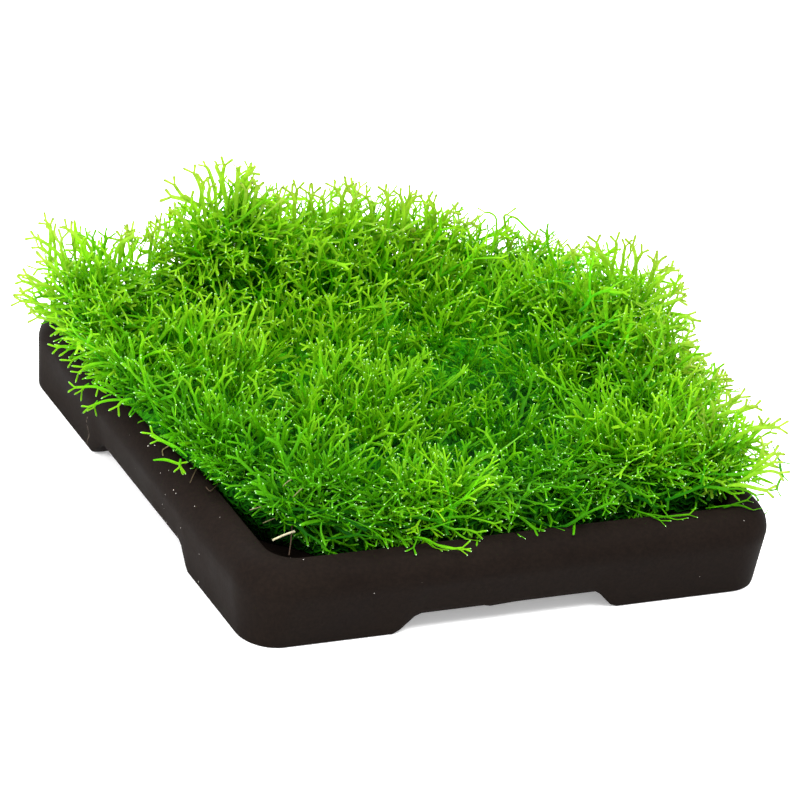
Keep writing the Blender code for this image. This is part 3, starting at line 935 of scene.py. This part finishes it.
class Ribbons(Skin):
    """Forked flat ribbons grown side by side, one closed skin each.

    Their state has an array for each of these: where they have come to (at), the direction they go in
    (heading) and the one across them (side), their last ring, how thick, wide (girth) and long (scale) they
    are, their tone, the share of pale tips (glint), the turn back after a fork (settle), the rise of each
    stretch (drift), and whether they end early (ends).
    """

    def __init__(self, chance):
        super().__init__()
        self.chance = chance

    def start(self, state, width, age):
        """A first ring, closed by a triangle."""
        state["ring"] = self.ring(state, width, state["thick"], age)
        self.tris.append(state["ring"][:, ::-1])

    def ring(self, state, width, thick, age):
        """Three points round each ribbon: its left edge, its raised middle and its right edge."""
        at = state["at"]
        half = state["side"] * (width / 2)[:, None]
        lift = np.cross(state["side"], state["heading"]) * thick[:, None]
        tones = state["tone"][:, None] + np.array((0.0, 0.004, 0.008))
        growth = np.stack([tones, np.broadcast_to(age[:, None], tones.shape)], -1)
        return self.add_points(np.stack([at - half, at + lift, at + half], 1), growth).reshape(-1, 3)

    def extend(self, state, width, thick, age):
        """The skin goes on to a next ring."""
        ring = self.ring(state, width, thick, age)
        self.add_band(state["ring"], ring)
        state["ring"] = ring

    def stretch(self, state, length, width, from_age, to_age, steps):
        """A bent length of every ribbon, a little wider where it will fork."""
        n = len(state["at"])
        swing = self.chance.normal(0, CURL, n) / steps
        turn = self.chance.normal(0, TWIST, n) / steps
        roll = self.chance.normal(0, 0.07, (n, 3))
        for index in range(steps):
            turn_in_plane(state, swing - state["settle"] / steps)
            twist(state, turn)
            bend(state, roll + state["drift"] / steps)
            state["at"] = state["at"] + state["heading"] * (length / steps)[:, None]
            share = (index + 1) / steps
            flare = 1 - 0.14 * math.sin(math.pi * share) + 0.12 * share
            age = np.full(n, from_age + (to_age - from_age) * share)
            self.extend(state, width * flare, state["thick"], age)

    def fork(self, state, share, half_angle, width, age, stop=0.0):
        """Some ribbons part in two in their own plane, one arm of some ending early, and others go on."""
        forks = self.chance.random(len(state["at"])) < share
        parted, whole = some_of(state, forks), some_of(state, ~forks)
        n = len(parted["at"])
        w = width[forks][:, None]
        crotch = parted["at"] + parted["heading"] * w * CROTCH_ON
        middle = self.add_points(crotch, np.column_stack([parted["tone"] + 0.004, np.full(n, age + 0.004)]))
        self.tris.append(np.column_stack([parted["ring"][:, 2], parted["ring"][:, 0], middle]))
        early = np.where(self.chance.random(n) < stop, self.chance.choice((-1, 1), n), 0)
        halves = []
        for hand in (-1, 1):
            half = dict(parted)
            half["ring"] = parted["ring"].copy()
            half["ring"][:, 2 if hand < 0 else 0] = middle
            half["at"] = parted["at"] + (parted["side"] * hand * ARM_OUT + parted["heading"] * ARM_ON) * w
            half["ends"] = (early == hand).astype(float)
            wide = np.where(early == 0, 1.0, np.where(half["ends"] > 0, EARLY_WIDE, LATE_WIDE))
            angle = half_angle * wide * self.chance.uniform(0.70, 1.25, n)
            turn_in_plane(half, hand * angle)
            half["settle"] = hand * angle * FORK_SETTLE
            halves.append(half)
        whole["settle"] = whole["ends"] = np.zeros(len(whole["at"]))
        return {key: np.concatenate([part[key] for part in (*halves, whole)]) for key in state}

    def tips(self, state, length, beads):
        """Each ribbon ends in a short lobe, with a bead on it where beads are asked for, pale on some as a
        growing point with a painted glint, and dark on those against the light as painted shade.
        """
        n = len(state["at"])
        length = length * self.chance.uniform(0.7, 1.3, n)
        # Pale beads are paler growing points carrying a painted glint; the dark ones are painted shade
        # against the light
        pale = (self.chance.random(n) < state["glint"]) & (state["tone"] < LIT_THROUGH)
        painted_dark_tip = state["tone"] > AGAINST_LIGHT
        bead = np.where((pale | painted_dark_tip) & beads, BEAD_AGE, GREEN_AGE)
        neck = np.where(painted_dark_tip, GREEN_AGE, NECK_AGE)
        wide = np.sqrt(state["girth"])
        foot, heading = state["at"], state["heading"]
        for (reach, width, thick), age in zip(BEAD_RINGS if beads else PLAIN_RINGS, (neck, bead)):
            state["at"] = foot + heading * (length * reach)[:, None]
            self.extend(state, width * wide, np.full(n, thick), age)
        end = foot + heading * length[:, None]
        point = self.add_points(end, np.column_stack([state["tone"] + 0.004, bead + 0.012]))
        for corner in range(3):
            pair = (state["ring"][:, corner], state["ring"][:, (corner + 1) % 3])
            self.tris.append(np.column_stack([*pair, point]))

    def grow(self, sprigs, stretches, foot_age):
        """Sprigs from their feet, each forking as it goes. The long ones are made finer."""
        n = len(sprigs["at"])
        fine = stretches == LONG_SPRIG
        state = dict(sprigs, settle=np.zeros(n), ends=np.zeros(n))
        state["thick"] = RIBBON_THICK * self.chance.uniform(0.85, 1.2, n)
        self.start(state, FOOT_WIDTH * state["girth"], np.full(n, foot_age))
        ages = np.linspace(foot_age, TIP_AGE, len(stretches) + 1)
        for level, (length, wide, share) in enumerate(stretches):
            n = len(state["at"])
            lengths = length * state["scale"] * self.chance.uniform(0.65, 1.35, n)
            ahead = state["at"] + state["heading"] * (lengths + STRETCH_AHEAD)[:, None]
            lengths = np.where(inside_envelope(ahead), lengths, lengths * CUT_SHORT)
            width = wide * state["girth"] * self.chance.uniform(0.80, 1.15, n)
            steps = LONG_STEPS if fine else SHORT_STEPS
            self.stretch(state, lengths, width, ages[level], ages[level + 1], steps)
            last = level == len(stretches) - 1
            angle, stop = (TIP_HALF_ANGLE, 0.0) if last else (FORK_HALF_ANGLE, EARLY_END)
            state = self.fork(state, share, angle, width, ages[level + 1], stop)
            if not last:
                ends = (state["ends"] > 0) | ~inside_envelope(state["at"] + state["heading"] * TIP_AHEAD)
                self.tips(some_of(state, ends), EARLY_TIP_LENGTH, fine)
                state = some_of(state, ~ends)
        self.tips(state, TIP_LENGTH, fine)

    def trace(self, path, width, tone, glint):
        """One ribbon along a path, facing the camera, that ends in two short lobes at the path's end."""
        path = path.copy()
        last = path[-1] - path[-2]
        path[-1] -= last * min(0.6, 0.9 * TIP_LENGTH / np.linalg.norm(last))
        line = smooth_line(path, 2)
        one = np.ones(1)
        state = {"tone": tone * one, "glint": glint * one, "girth": (width / FOOT_WIDTH) ** 2 * one,
                 "thick": RIBBON_THICK * one, "settle": 0 * one, "ends": 0 * one, "drift": np.zeros((1, 3))}
        for index, (at, heading) in enumerate(zip(line, unit(np.gradient(line, axis=0)))):
            share = index / (len(line) - 1)
            state["at"], state["heading"] = at[None], heading[None]
            state["side"] = unit(np.cross(heading, -VIEW_AHEAD))[None]
            wide = width * min(1.0, 0.5 + 1.6 * share) * (1 - 0.12 * share) * one
            age = (0.45 + 0.41 * share) * one
            if index == 0:
                self.start(state, wide, age)
            else:
                self.extend(state, wide, state["thick"], age)
        parted = self.fork(state, 1.1, TIP_HALF_ANGLE, width * one, 0.87)
        self.tips(parted, TIP_LENGTH, True)


# Sprigs

def reach_of(stretches):
    """About how far a sprig goes from its foot to its tips in a straight line."""
    return 0.90 * sum(length for length, _, _ in stretches) + TIP_LENGTH


def lowest_foot(x, y):
    """The lowest place where a sprig may start: over the recess floor, and up to the rim near its walls."""
    inward = RECESS_HALF - np.maximum(np.abs(x), np.abs(y))
    floor = TRAY_HEIGHT - RECESS_DEPTH + 1.0
    return floor + (TRAY_HEIGHT + 0.8 - floor) * (1 - smooth_step(1.0, 6.0, inward))


def flat_side(chance, heading, to_camera, flat):
    """The side of each sprig, so that it lies flat to a random direction, to the camera or upwards."""
    facing = chance.normal(0, 1, heading.shape) - to_camera * VIEW_AHEAD
    facing[:, 2] += flat
    return unit(np.cross(heading, facing))


def aim_sprigs(chance, target, heading, stretches, scale, flat):
    """Sprigs that end at their targets: each foot is set back along its heading, and never in the tray."""
    at = target - heading * (reach_of(stretches) * scale)[:, None]
    at[:, 2] = np.maximum(at[:, 2], lowest_foot(at[:, 0], at[:, 1]))
    heading = unit(target - at)
    return {"at": at, "heading": heading, "side": flat_side(chance, heading, 0.7, flat), "scale": scale}


def upward_drift(chance, middling, spread, n):
    return np.outer(chance.normal(middling, spread, n), (0, 0, 1))


def light_tones(chance, tones, ends, shade, low):
    """Tones with painted light and shade: each patch's lightening or shading added, and those of sprigs
    that the light comes through at the mat's back, sides and tufts raised as painted light.
    """
    x, y, height = ends[:, 0], ends[:, 1], ends[:, 2] - TRAY_HEIGHT
    change = patch_sum(PAINTED_LIGHT_AND_SHADE, x, y)
    change = change * np.where(change < 0, shade, 1.0)
    tones = np.clip(tones + change, 0.0, LOW_FRESHEST if low else FRESHEST)
    if low:
        return tones
    outline = np.maximum.reduce([
        smooth_step(*LIT_BACK, y), smooth_step(*LIT_RIGHT, x), smooth_step(*LIT_HEIGHT, height),
        smooth_step(*LIT_LEFT, -x) * smooth_step(*LIT_LEFT_BACK, y)])
    lit = outline * (0.40 + 0.60 * smooth_step(1, 8, height))
    raised = (chance.random(len(x)) < 0.92 * lit) & (tones > 0.12)
    at_outline, near_outline = (
        (outline > 0.4) & ~np.logical_and.reduce([
            inside_envelope(ends, shift) for shift in ((0, -px), (px, -px / 3), (-px, -px / 3))])
        for px in (AT_OUTLINE_PX, NEAR_OUTLINE_PX))
    tones = tones + (FRESHEST - tones) * 0.7 * lit
    near_tones = np.where(near_outline, chance.uniform(*NEAR_OUTLINE_TONES, len(x)), LIT_TONE)
    lit_tones = np.where(at_outline, chance.uniform(*AT_OUTLINE_TONES, len(x)), near_tones)
    return np.where(raised, lit_tones, tones)


def top_sprigs(chance, stretches, rows, reach, tones, glint):
    """Sprigs evenly strewn over the mat's top, spread from the middles of its cushions."""
    low = stretches == SHORT_SPRIG
    steps = (np.arange(rows) + 0.5) / rows * 2 - 1
    a, b = ((side.ravel() + chance.uniform(-1, 1, side.size) / rows) * LAYER_SPAN
            for side in np.meshgrid(steps, steps))
    more_a, more_b, draw = chance.uniform(-SLOPE_SPAN, SLOPE_SPAN, (3, SLOPE_TRIES))
    steep = 1 / np.clip(mat_normal(more_a, more_b)[:, 2], 0.3, 1) - SLOPE_EVEN
    added = np.abs(draw) < steep * SLOPE_SHARE
    a, b = np.append(a, more_a[added]), np.append(b, more_b[added])
    top, normal = mat_top(a, b), mat_normal(a, b)
    x, y, _ = top.T
    n = len(x)
    up_cushion, away = cushions_at(x, y)
    pocket = in_pocket(x, y)
    tall = smooth_step(TUFT_START, TUFT_FULL, mound_height(x, y))
    rim_side = smooth_step(*RIM_SIDE_SPAN, np.maximum(a, b)) * (1 - 0.6 * tall)
    over = chance.uniform(*reach, n) + patch_sum(FILLS, x, y) - POCKET_OPEN * pocket
    over = over - TUFT_OPEN * tall * (not low) - EDGE_OPEN * rim_side
    target = top + normal * over[:, None]
    tilt = chance.normal(0, 0.22, normal.shape) * (1, 1, 0.3)
    scale = chance.uniform(0.85, 1.15, n) * (1 + 0.15 * tall)
    spread = (CUSHION_SPREAD + FRONT_SPREAD * smooth_step(-8, -38, y)) * (1 - 0.6 * tall)
    heading = unit(normal + away * spread[:, None] + tilt)
    sprigs = aim_sprigs(chance, target, heading, stretches, scale, 0.4)
    shaded = np.clip(-patch_sum(PAINTED_LIGHT_AND_SHADE, x, y), 0, 0.5)
    thin = np.maximum(pocket * (0.35 if low else 0.9), shaded * (not low))
    foot_x, foot_y, foot_z = sprigs["at"].T
    covered = foot_z < TRAY_HEIGHT + mound_height(foot_x, foot_y) - FOOT_COVER
    sprigs["kept"] = (chance.random(n) > thin) & covered
    least, most = (over.min(), over.max()) if low else reach
    # Painted shade: a sprig's tone is deeper the lower it ends, low on a cushion and in a pocket
    rank = np.clip(0.10 + 0.80 * (over - least) / (most - least) + chance.normal(0, 0.20, n), 0, 1)
    tone = tones[0] + (tones[1] - tones[0]) * rank ** (1.0 if low else 0.65)
    tone = tone * (0.80 + 0.20 * smooth_step(0.15, 0.75, up_cushion)) * (1 - 0.6 * pocket)
    sprigs["tone"] = light_tones(chance, tone, target, 1.0 if low else 0.45, low)
    sprigs["glint"] = np.full(n, glint)
    sprigs["girth"] = chance.uniform(0.80, 1.18, n) * (1 + 0.22 * tall)
    sprigs["girth"] *= np.where(sprigs["tone"] > AGAINST_LIGHT, 1.40, 1.0)
    sprigs["drift"] = upward_drift(chance, 0.03, 0.10, n)
    return sprigs


def edge_sprigs(chance, count, stretches, pushes, levels, tones, glint):
    """Sprigs that lie outwards over the rim, all round the mat."""
    along = chance.uniform(-1, 1, count)
    edge = np.where(chance.random(count) < 0.5, -1.0, 1.0)
    swap = chance.random(count) < 0.47
    a, b = np.where(swap, along, edge), np.where(swap, edge, along)
    x, y = mat_plan(a, b)
    flat = np.zeros(count)
    out = unit(np.stack([a ** 7, b ** 7, flat], -1))
    level = chance.uniform(*levels, count)
    height = 0.5 + level * mound_height(x, y) * 0.80
    gap = corner_gap(x, y)
    front = smooth_step(0.5, 0.95, -b)
    beside = smooth_step(0.5, 0.95, -a)
    left = beside * (1 - level)
    push = chance.uniform(*pushes, count) - HIGH_SETBACK * level ** 2 - GAP_SETBACK * gap
    push = push - FRONT_SETBACK * front - LEFT_SETBACK * left
    target = np.stack([x, y, TRAY_HEIGHT + height], -1) + out * push[:, None]
    lying = front * (1 - level)
    slope = chance.uniform(-0.15, 0.35, count) * (1 - 0.6 * lying) + 0.5 * level - 0.15 * front
    sway = chance.normal(0, 1.0, count) * (1.0 + 1.6 * lying - 0.45 * beside)
    across = np.stack([-out[:, 1], out[:, 0], flat], -1)
    heading = unit(out + across * sway[:, None] + np.array((0, 0, 1)) * slope[:, None])
    scale = chance.uniform(0.72, 1.05, count) * (1 + 0.45 * lying)
    sprigs = aim_sprigs(chance, target, heading, stretches, scale, 1.3)
    # Painted shade: tones deepen towards the foot of the mat's side
    tone = tones[0] + (tones[1] - tones[0]) * chance.beta(1.3, 1.6, count) * (0.15 + 0.85 * level)
    sprigs["tone"] = light_tones(chance, tone, target, 0.6, stretches == SHORT_SPRIG)
    sprigs["glint"] = np.full(count, glint)
    sprigs["girth"] = chance.uniform(0.75, 1.10, count) * (1 - 0.15 * lying)
    sprigs["kept"] = chance.random(count) > 0.80 * gap
    sprigs["drift"] = upward_drift(chance, -0.04, 0.06, count)
    return sprigs


def tuft_sprigs(chance):
    """Sprigs of the tufts, spread like a fan all round from near each tuft's middle."""
    spots = np.concatenate([
        np.tile((x, y, TRAY_HEIGHT + z, reach), (count, 1)) for x, y, z, reach, count in TUFTS])
    n = len(spots)
    turn = chance.uniform(-math.pi, math.pi, n)
    rise = chance.uniform(-0.05, 1.0, n)
    level = np.sqrt(1 - rise ** 2)
    heading = np.stack([np.cos(turn) * level, np.sin(turn) * level, rise], -1)
    at = spots[:, :3] + heading * chance.uniform(0.0, 1.5, n)[:, None]
    at = at + chance.normal(0, 1.3, (n, 3)) * (1, 1, 0.5)
    scale = (spots[:, 3] - 1.0) / reach_of(LONG_SPRIG) * chance.uniform(0.85, 1.08, n)
    side = flat_side(chance, heading, 1.2, 0)
    ends = at + heading * spots[:, 3:] * 0.9
    tone = light_tones(chance, chance.uniform(0.35, 0.86, n), ends, 1.0, False)
    return {"at": at, "heading": heading, "side": side, "scale": scale, "tone": tone,
            "glint": np.full(n, TUFT_GLINT), "girth": chance.uniform(1.0, 1.4, n), "kept": np.full(n, True),
            "drift": np.zeros((n, 3))}


# Ribbons and stalks by the photograph's pixels

def rim_path(pixels, root=PATH_ROOT):
    """A path that looks as its pixels do and lies just over the tray's rim."""
    path = []
    for pixel in np.reshape(pixels, (-1, 2)):
        place, sight = sight_line(pixel)
        height = TRAY_HEIGHT + RIM_CLEAR
        for _ in range(4):
            x, y, _ = at = place + sight * ((height - place[2]) / sight[2])
            height = rim_height(tray_distance(x, y)) + RIM_CLEAR
        path.append(at)
    return np.array([path[0] - unit(path[1] - path[0]) * root, *path])


def mat_path(pixels, root=PATH_ROOT):
    """A path that looks as its pixels do: in an upright plane that faces the camera, from the mat."""
    pixels = np.reshape(pixels, (-1, 2))
    place, sight = sight_line(pixels[0] + (0, PATH_FOOT_PX))
    along = place + sight * SIGHT_DISTANCES[:, None]
    x, y, z = along.T
    beside = np.maximum(np.abs(x) / MAT_LEFT, np.abs(y) / MAT_BACK)
    over = z - TRAY_HEIGHT - mound_height(x, y) * np.sqrt(1 - np.clip(beside, 0, 1) ** 6)
    over = np.where(beside < 0.96, over, 99.0)
    meets = np.flatnonzero(over <= 0)
    nearest = meets[0] if len(meets) else np.argmin(over)
    facing = np.array((math.sin(CAMERA_YAW), math.cos(CAMERA_YAW), 0.0))
    path = []
    for pixel in pixels:
        place, sight = sight_line(pixel)
        path.append(place + sight * ((along[nearest] - place) @ facing / (sight @ facing)))
    start = path[0] - unit(path[1] - path[0]) * root - (0, 0, root / 2 + max(over[nearest], 0))
    return np.array([start, *path])


def add_outline(ribbons, inside_part):
    """The ribbons that the photograph's outline shows one by one, those that start in this part."""
    for rows, width, tone, glint in OUTLINE_GROUPS:
        for order, pixels in enumerate(rows):
            path = rim_path(pixels) if rows is CREEPING_PX else mat_path(pixels)
            if inside_part(path[0]):
                wide, lighter = ((0.92, 0.0), (1.08, 0.02), (1.0, -0.02))[order % 3]
                ribbons.trace(path, width * wide, tone + lighter, glint)


def add_thalli(surface):
    chance = np.random.default_rng(MAT_SEED)
    layers = [(top_sprigs(chance, *layer), layer[0], 0.0) for layer in LAYERS]
    layers += [(edge_sprigs(chance, *edge), edge[1], 0.0) for edge in EDGES]
    layers.append((tuft_sprigs(chance), LONG_SPRIG, TUFT_FOOT_AGE))
    for sprigs, stretches, _ in layers:
        reach = reach_of(stretches) * sprigs["scale"] + ENVELOPE_CLEAR
        ends = sprigs["at"] + sprigs["heading"] * reach[:, None]
        x, y, _ = ends.T
        boxed = (np.abs(x) < BOX_SIDES) & (y < BOX_BACK) & (y > -BOX_FRONT)
        sprigs["kept"] &= boxed & inside_envelope(ends) & inside_envelope(sprigs["at"])
    for column, side in enumerate(("left", "middle", "right")):
        for row, depth in enumerate(("front", "back")):
            def inside_part(at):
                in_column = np.digitize(at[..., 0], PART_LINES_X) == column
                return in_column & (np.digitize(at[..., 1], PART_LINES_Y) == row)
            ribbons = Ribbons(chance)
            for sprigs, stretches, foot_age in layers:
                here = inside_part(sprigs["at"]) & sprigs["kept"]
                ribbons.grow(some_of(sprigs, here), stretches, foot_age)
            add_outline(ribbons, inside_part)
            made = ribbons.piece(f"thalli_{depth}_{side}", "thallus", surface, hold_in)
            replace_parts(made, "crystalwort_mat")


def add_stalk(skin, path, width, brown):
    """A dead stalk, a closed tube that thins to its end."""
    line = smooth_line(path, 1)
    heading = unit(np.gradient(line, axis=0))
    across = unit(np.cross(heading, VIEW_AHEAD))
    over = np.cross(across, heading)
    angle = np.arange(STALK_SIDES) / STALK_SIDES * 2 * math.pi
    share = np.linspace(0, 1, len(line))
    radius = width / 2 * (1 - 0.3 * share)
    round_it = across[:, None] * np.cos(angle)[None, :, None] + over[:, None] * np.sin(angle)[None, :, None]
    browns = np.tile(brown + 0.01 * np.cos(angle), len(line))
    growth = np.column_stack([browns, np.repeat(share, STALK_SIDES)])
    rings = skin.add_points(line[:, None] + round_it * radius[:, None, None], growth)
    rings = rings.reshape(-1, STALK_SIDES)
    skin.add_band(rings[:-1], rings[1:])
    for end in (0, -1):
        skin.add_fan(rings[end], skin.add_points(line[end], (brown, -end))[0], end == -1)


def add_stalks(surface):
    """The dead stalks that lie at the mat's front left corner."""
    skin = Skin()
    for stalks, path_of in ((RIM_STALKS_PX, rim_path), (MAT_STALKS_PX, mat_path)):
        for pixels, width, brown in stalks:
            add_stalk(skin, path_of(pixels, STALK_ROOT), width, brown)
    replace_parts(skin.piece("dead_stalks", "thallus", surface, keep_off_tray), "crystalwort_mat")


# The inside of the mat

def fit_in_square(places, half, corner):
    """Places drawn in to a square with rounded corners, those of them that lie outside it."""
    x, y = places.T
    places = places * np.minimum(1.0, half / np.maximum(np.abs(x), np.abs(y)))[:, None]
    over = np.abs(places) - (half - corner)
    reach = np.hypot(*np.maximum(over, 0).T)
    at_corner = (over > 0).all(1)
    shrink = np.where(at_corner & (reach > corner), corner / np.maximum(reach, 1e-6), 1.0)
    inner = np.sign(places) * (half - corner + over * shrink[:, None])
    return np.where(at_corner[:, None], inner, places)


def clear_corner(points):
    """Points pushed away from the gap at the front left corner."""
    x, y = points[..., 0], points[..., 1]
    return points + corner_gap(x, y)[..., None] * (CORNER_GAP_PUSH, CORNER_GAP_PUSH, 0.0)


def add_core(surface):
    """The shaded inside of the mat, a closed body in the recess and under the ribbons."""
    steps = np.arange(-CORE_STEPS, CORE_STEPS + 1) / CORE_STEPS
    a, b = np.meshgrid(steps, steps, indexing="ij")
    depth = CORE_DEPTH + CORE_TUFT_DEPTH * np.maximum(mound_height(*mat_plan(a, b)) - MAT_BODY, 0)
    top = mat_top(a * CORE_SPAN, b * CORE_SPAN, depth)
    edge = np.maximum(np.abs(a), np.abs(b))
    z = top[..., 2] + np.random.default_rng(MAT_SEED + 1).normal(0, CORE_ROUGH, a.shape) * (edge < 1)
    top[..., 2] = np.where(edge == 1, np.maximum(TRAY_HEIGHT + CORE_CLEAR, z - 2), z)
    skin = Skin()
    index = skin.add_points(clear_corner(top)).reshape(a.shape)
    quads = np.stack([index[:-1, :-1], index[1:, :-1], index[1:, 1:], index[:-1, 1:]], -1)
    skin.quads.append(quads.reshape(-1, 4))
    border = np.concatenate([index[-1, :-1], index[::-1, -1][:-1], index[0, ::-1][:-1], index[:, 0][:-1]])
    rim_places = top.reshape(-1, 3)[border, :2]
    floor = TRAY_HEIGHT - RECESS_DEPTH + CORE_CLEAR
    for half, height in ((RECESS_HALF - 0.5, TRAY_HEIGHT + 0.3), (RECESS_HALF - 0.8, TRAY_HEIGHT - 1.5),
                         (RECESS_HALF - RECESS_DRAFT - 2.2, floor)):
        places = fit_in_square(rim_places, half, RECESS_CORNER)
        ring = skin.add_points(clear_corner(np.insert(places, 2, height, axis=1)))
        skin.add_band(ring, border)
        border = ring
    skin.add_fan(border, skin.add_points(clear_corner(np.array((0.0, 0.0, floor))))[0])
    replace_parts(skin.piece("mat_shade", "thallus", surface), "crystalwort_mat")


# Stage, lights and camera

def add_floor(surface, size=6.0):
    mesh = bpy.data.meshes.new("floor")
    corners = [(-size, -size, 0), (size, -size, 0), (size, size, 0), (-size, size, 0)]
    mesh.from_pydata(corners, [], [(0, 1, 2, 3)])
    mesh.materials.append(surface)
    add_object("floor", mesh)


def add_light(name, place, size, power):
    light = bpy.data.lights.new(name, "AREA")
    light.shape = "DISK"
    light.size = size
    light.energy = power
    item = add_object(name, light)
    item.location = place
    item.rotation_euler = (-Vector(place)).to_track_quat("-Z", "Y").to_euler()


def add_world():
    world = bpy.data.worlds.new("studio")
    world.use_nodes = True
    world.node_tree.nodes["Background"].inputs["Color"].default_value = (1.0, 1.0, 1.0, 1.0)
    bpy.context.scene.world = world


def add_camera():
    """The photograph's view. Its frame is square, and the camera is rolled about its line of sight."""
    right, top, ahead, place = camera_axes()
    camera = add_object("camera", bpy.data.cameras.new("camera"))
    camera.data.sensor_width = SENSOR_MM
    camera.data.lens = FOCAL_PX * SENSOR_MM / FRAME_PX
    camera.data.clip_start = 0.05
    camera.data.clip_end = 30.0
    camera.matrix_world = Matrix.Translation(place) @ Matrix((right, top, -ahead)).transposed().to_4x4()
    bpy.context.scene.camera = camera


bpy.context.scene.view_settings.view_transform = "Standard"
add_camera()
add_world()
add_floor(floor_material())
add_light("softbox_above", (0.00, -0.20, 0.78), 0.70, 15.0)
add_light("softbox_left", (-0.75, -0.05, 0.40), 0.50, 8.0)
add_light("softbox_back", (0.10, 0.85, 0.35), 0.60, 12.0)
add_tray(ceramic_material())
add_thalli(thallus_material())
add_stalks(stalk_material())
add_core(shade_material())
